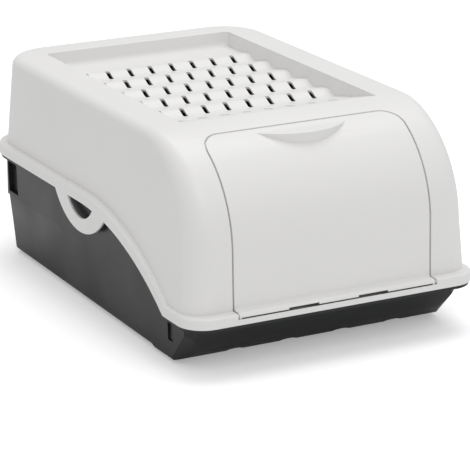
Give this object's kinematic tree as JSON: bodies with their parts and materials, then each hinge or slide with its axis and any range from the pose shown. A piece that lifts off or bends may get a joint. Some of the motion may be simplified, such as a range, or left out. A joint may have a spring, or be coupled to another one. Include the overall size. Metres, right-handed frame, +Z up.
{
  "type": "potato storage bin",
  "caption": "Potato storage bin: a dark tub with a pale hood that lifts off, a sunken vented tray in its top and a curved front flap hinged along its foot.",
  "frame": {"origin": "middle of the bin's footprint, on the surface that it stands on", "axes": "+X to the right seen from the front, +Y from the flap towards the back, +Z up"},
  "size_m": [0.263, 0.4, 0.18],
  "materials": {
    "tub": "satin",
    "hood": "satin",
    "flap": "satin"
  },
  "bodies": {
    "tub_body": {"tub": "tub"},
    "hood_body": {"hood": "hood"},
    "flap_body": {"flap": "flap"}
  },
  "joints": [
    {"name": "hood_lift", "type": "slide", "parent": "tub_body", "child": "hood_body", "axis": [0, 0, 1], "range_m": [0, 0.12]},
    {"name": "flap_hinge", "type": "hinge", "parent": "hood_body", "child": "flap_body", "pos_m": [0, -0.1957, 0.0475], "axis": [1, 0, 0], "range_deg": [0, 125]}
  ]
}
